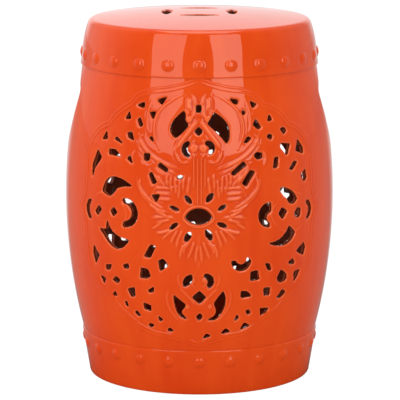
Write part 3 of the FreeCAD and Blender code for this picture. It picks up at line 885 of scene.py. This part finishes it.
def make_collar(side, turn, openings):
    """The ring round the centre oval."""
    ovals = []
    for loop in openings:
        across, height = loop.mean(axis=0)
        if abs(across) < OVAL_REACH and abs(height - OVAL_HEIGHT) < OVAL_REACH:
            ovals.append(loop)
    oval = max(ovals, key=len)
    away = oval - oval.mean(axis=0)
    away /= np.linalg.norm(away, axis=1)[:, None]
    line = worn(evenly(oval + away * COLLAR_GAP, 0.0016), 3)
    mesh = bmesh.new()
    laid_line(mesh, line, COLLAR_SECTION, True)
    bmesh.ops.recalc_face_normals(mesh, faces=mesh.faces)
    wrapped(mesh, turn)
    finished(f"oval_collar_{side}", mesh, [f"{side}_collar"])


RIB_PITCH = 0.0046
RIB_FEET = (0.268, 0.247, 0.247, 0.268)
RIB_TOP = 0.303


def make_stem(side, turn):
    """Upright ribs over the centre oval, the outer ones shorter."""
    mesh = bmesh.new()
    for number, foot in enumerate(RIB_FEET):
        across = (number - (len(RIB_FEET) - 1) / 2) * RIB_PITCH
        line = along((across, foot), (across, (foot + RIB_TOP) / 2), (across, RIB_TOP), 0.004)
        laid_line(mesh, line, RIB_SECTION, False)
    bmesh.ops.recalc_face_normals(mesh, faces=mesh.faces)
    wrapped(mesh, turn)
    finished(f"reeded_stem_{side}", mesh, [f"{side}_stem"])


# Half the outline of a nail head: share of its radius, and rise
NAIL_OUTLINE = [
    (0, -0.0008), (1.02, -0.0008), (1.03, 0), (0.98, 0.0002), (0.88, 0.0003), (0.78, 0.0005),
    (0.71, 0.0009), (0.63, 0.0013), (0.52, 0.0017), (0.36, 0.0020), (0.18, 0.00215), (0, NAIL_RISE),
]
NAIL_STEPS = 24


def nail_head():
    """One nail head, upright on the origin."""
    head = bmesh.new()
    verts = [head.verts.new((across * NAIL_RADIUS, 0, rise)) for across, rise in NAIL_OUTLINE]
    edges = [head.edges.new((verts[index - 1], verts[index])) for index in range(1, len(verts))]
    bmesh.ops.spin(
        head, geom=verts + edges, cent=(0, 0, 0), axis=(0, 0, 1), angle=math.tau,
        steps=NAIL_STEPS, use_merge=True, use_duplicate=False)
    bmesh.ops.remove_doubles(head, verts=head.verts, dist=1e-6)
    bmesh.ops.recalc_face_normals(head, faces=head.faces)
    return kept(head)


def make_nails(name, node, ledge, edge):
    """A row of round-headed nails on a conical band."""
    mesh = bmesh.new()
    slope = math.atan2(BAND_RADIUS - RIM_RADIUS, abs(edge - ledge)) * math.copysign(1, edge - ledge)
    height = ledge + math.copysign(NAIL_INSET, edge - ledge)
    tip = Matrix.Rotation(math.pi / 2 - slope, 4, "X")
    out = Matrix.Translation((0, -band_slope(height, ledge, edge), height))
    head = nail_head()
    for number in range(NAIL_COUNT):
        first = len(mesh.verts)
        mesh.from_mesh(head)
        mesh.verts.ensure_lookup_table()
        spin = Matrix.Rotation(math.tau * number / NAIL_COUNT, 4, "Z")
        bmesh.ops.transform(mesh, matrix=spin @ out @ tip, verts=mesh.verts[first:])
    bpy.data.meshes.remove(head)
    finished(name, mesh, [node])


def coin_lines():
    """The four lens-shaped openings of the seat's coin, on its plan."""
    half, bulge = COIN_LENGTH / 2, COIN_WIDTH / 2
    loops = []
    for quarter in range(4):
        reach = COIN_RADIUS if quarter % 2 else COIN_NEAR_RADIUS
        near = along((-half, reach), (0, reach - bulge), (half, reach))
        far = along((half, reach), (0, reach + bulge), (-half, reach))
        lens = worn(evenly([tuple(place) for place in near[:-1] + far[:-1]], 0.0006), 2)
        loops.append(lens @ np.array(Matrix.Rotation(quarter * math.pi / 2, 2)))
    return loops


def rim_place(angle):
    """Radius and height of the rounded rim at an angle from upright."""
    last = RIM_TURNS[1]
    radius = RIM_RADIUS + RIM_ROUNDING * (math.sin(angle) - math.sin(last))
    height = RIM_EDGE + RIM_ROUNDING * (math.cos(angle) - math.cos(last))
    return radius, height


def dome_height(radius):
    """Height of the seat's top and rim at a radius."""
    edge, edge_height = rim_place(RIM_TURNS[0])
    if radius <= edge:
        return edge_height + DOME_RISE * (1 - (radius / edge) ** 2)
    out = (radius - RIM_RADIUS) / RIM_ROUNDING + math.sin(RIM_TURNS[1])
    return rim_place(math.asin(min(out, math.sin(RIM_TURNS[1]))))[1]


# The seat's rings of points lie this far apart and are this many up to the rounded rim
SEAT_RING = 0.002
SEAT_RINGS = 67
SEAT_CELL = 0.0019
COIN_ROUNDING = 0.0016
COIN_HIGHLIGHT_REACH = 0.004


def make_seat():
    """Domed seat with its coin, run on over the rounded rim."""
    mesh = bmesh.new()
    rings = [index * SEAT_RING for index in range(SEAT_RINGS)]
    rings += [rim_place(float(angle))[0] for angle in np.linspace(*RIM_TURNS, 9)]
    turned(mesh, [(radius, dome_height(radius)) for radius in rings], closed=False)
    lines = coin_lines()
    trimmed(mesh, SEAT_CELL, None, lines)
    distance = nearest(flat_of(mesh), lines)[1]
    thin = mesh.verts.layers.float.new("thin")
    inside = mesh.verts.layers.float.new("inside")
    cut = mesh.verts.layers.float.new("cut")
    # Painted highlight near the coin's openings, and painted shade on their walls through the cut
    # mark
    for vert, gap in zip(mesh.verts, distance):
        away = max(COIN_ROUNDING - gap, 0)
        drop = COIN_ROUNDING - math.sqrt(max(COIN_ROUNDING ** 2 - away ** 2, 0))
        vert.co.z = dome_height(min(vert.co.xy.length, RIM_RADIUS)) - drop
        vert[thin] = max(0, 1 - gap / COIN_HIGHLIGHT_REACH) * 0.5
        if gap < 1e-6:
            vert[cut] = 1
    bmesh.ops.recalc_face_normals(mesh, faces=mesh.faces)
    if mesh.faces[0].normal.z < 0:
        bmesh.ops.reverse_faces(mesh, faces=mesh.faces)
    border, copy = backed(mesh)
    walls = bmesh.ops.extrude_edge_only(mesh, edges=border)["geom"]
    for vert in only(copy + walls, bmesh.types.BMVert):
        radius = vert.co.xy.length
        if radius > SEAT_RADIUS:
            vert.co.xy *= (SEAT_RADIUS + (radius - SEAT_RADIUS) * 0.1) / radius
        vert.co.z = SEAT_UNDERSIDE
        vert[inside] = 0 if vert[cut] else 1
    bmesh.ops.remove_doubles(mesh, verts=mesh.verts, dist=1e-6)
    bmesh.ops.recalc_face_normals(mesh, faces=mesh.faces)
    finished("seat", mesh, ["seat_slab"])


# Points on the lines of the medallion lie this far apart
EDGE_SPACING = 0.0005
OPENING_SPACING = 0.0007
# Each opening's corners are worn round, and its lip lies this much further out than its line
OPENING_WEAR = 4
OPENING_GROWTH = 0.0008

edge_line, opening_lines = outlines_of("front_medallion")
edge_line = mirrored(evenly(edge_line, EDGE_SPACING))
for place in WIDER_PLACES:
    edge_line = eased_out(edge_line, place)
opening_lines = [
    grown(worn(evenly(loop, OPENING_SPACING), OPENING_WEAR), OPENING_GROWTH)
    for loop in redrawn(opening_lines)
]

make_shoulder()
make_base()
make_foot()
make_seat()
make_barrel(edge_line)
flat = flat_medallion(edge_line, opening_lines)
for side_name, half_turn in (("front", 0.0), ("rear", math.pi)):
    make_medallion(side_name, half_turn, flat)
    make_frame(side_name, half_turn, edge_line)
    make_collar(side_name, half_turn, opening_lines)
    make_stem(side_name, half_turn)
bpy.data.meshes.remove(flat)
make_nails("upper_nails", "upper_nail_heads", UPPER_LEDGE, RIM_EDGE)
make_nails("lower_nails", "lower_nail_heads", LOWER_LEDGE, 0.0)


# Camera, light and floor

def make_camera():
    """The photograph's view: a long lens, a little above the stool."""
    data = bpy.data.cameras.new("camera")
    data.lens = 236.8
    data.sensor_width = 36
    data.shift_x = 0.0014
    data.clip_end = 50
    camera = bpy.data.objects.new("camera", data)
    camera.location = (0, -3.308, 0.852)
    camera.rotation_euler = (math.radians(79.18), 0, 0)
    bpy.context.scene.collection.objects.link(camera)
    bpy.context.scene.camera = camera


# Lamps: degrees round from the front, degrees up, distance, width, height and power
LAMPS = {
    "left_soft_box": (-31.3, 23.2, 6, 3.37, 4.4, 43),
    "right_soft_box": (27.5, 23.2, 6, 3.12, 4.4, 51),
    "top_soft_box": (0, 84, 2.2, 1.6, 1.6, 11),
}
LAMP_COLOUR = (1, 0.95, 0.8)
LAMP_TARGET = Vector((0, 0, 0.3))


def soft_box(name, azimuth, elevation, distance, width, height, power):
    """A rectangular lamp that faces the stool."""
    data = bpy.data.lights.new(name, "AREA")
    data.shape = "RECTANGLE"
    data.size = width
    data.size_y = height
    data.energy = power
    data.color = LAMP_COLOUR
    lamp = bpy.data.objects.new(name, data)
    around, up = math.radians(azimuth), math.radians(elevation)
    out = Vector((math.sin(around) * math.cos(up), -math.cos(around) * math.cos(up), math.sin(up)))
    lamp.location = LAMP_TARGET + out * distance
    lamp.rotation_mode = "QUATERNION"
    lamp.rotation_quaternion = out.to_track_quat("Z", "Y")
    bpy.context.scene.collection.objects.link(lamp)


def backdrop(nodes, away, dim, level):
    """How bright the studio is in the glaze: dim behind the camera, bright behind the stool."""
    room = nodes.spread(away, -0.6, 0.8, dim, 0.33 * level)
    return room + nodes.spread(away, 0.8, 0.97, 0.0, 0.56 * level)


def make_world():
    """The studio: in the glaze a white backdrop and a dimmer room, and brighter at the left."""
    world = bpy.data.worlds.new("studio")
    bpy.context.scene.world = world
    nodes = Nodes(world)
    where = nodes.add("ShaderNodeTexCoord", {}, [], "Generated")
    away = nodes.add("ShaderNodeSeparateXYZ", {}, [where], "Y")
    right = nodes.add("ShaderNodeSeparateXYZ", {}, [where], "X")
    plain = nodes.spread(away, -1, 1, 0.88, 1.22)
    room = nodes.between(nodes.ray("Glossy"), plain, backdrop(nodes, away, 0.04, 1))
    lit = room * nodes.spread(right, -1, 1, 1.34, 0.88)
    background = nodes.tree.nodes["Background"]
    nodes.give(background, "Color", (1, 1, 1, 1))
    nodes.give(background, "Strength", nodes.between(nodes.ray("Camera"), lit, 1.0))


def floor_paint():
    """Paint that the camera sees as nearly pure white, and the glaze as the studio's backdrop."""
    material = bpy.data.materials.new("floor")
    nodes = Nodes(material)
    nodes.tree.nodes.remove(nodes.tree.nodes["Principled BSDF"])
    where = nodes.add("ShaderNodeTexCoord", {}, [], "Object")
    way = nodes.add("ShaderNodeVectorMath", {"operation": "NORMALIZE"}, [where])
    away = nodes.add("ShaderNodeSeparateXYZ", {}, [way], "Y")
    tone = nodes.mix(nodes.ray("Glossy"), (0.8, 0.8, 0.8), backdrop(nodes, away, 0.05, 0.7))
    paint = nodes.add("ShaderNodeBsdfDiffuse", {}, {"Color": tone})
    white = nodes.add("ShaderNodeEmission", {}, {"Strength": 1.05})
    surface = nodes.add("ShaderNodeMixShader", {}, [nodes.ray("Camera") * 0.94, paint, white])
    nodes.give(nodes.tree.nodes["Material Output"], "Surface", surface)
    return material


def make_floor():
    """A pale floor that shows as white and keeps a faint shadow."""
    mesh = bmesh.new()
    bmesh.ops.create_grid(mesh, x_segments=1, y_segments=1, size=12)
    data = bpy.data.meshes.new("floor")
    mesh.to_mesh(data)
    mesh.free()
    data.materials.append(floor_paint())
    floor = bpy.data.objects.new("floor", data)
    bpy.context.scene.collection.objects.link(floor)


make_camera()
make_world()
make_floor()
for lamp_name, settings in LAMPS.items():
    soft_box(lamp_name, *settings)

bpy.context.scene.view_settings.view_transform = "Standard"
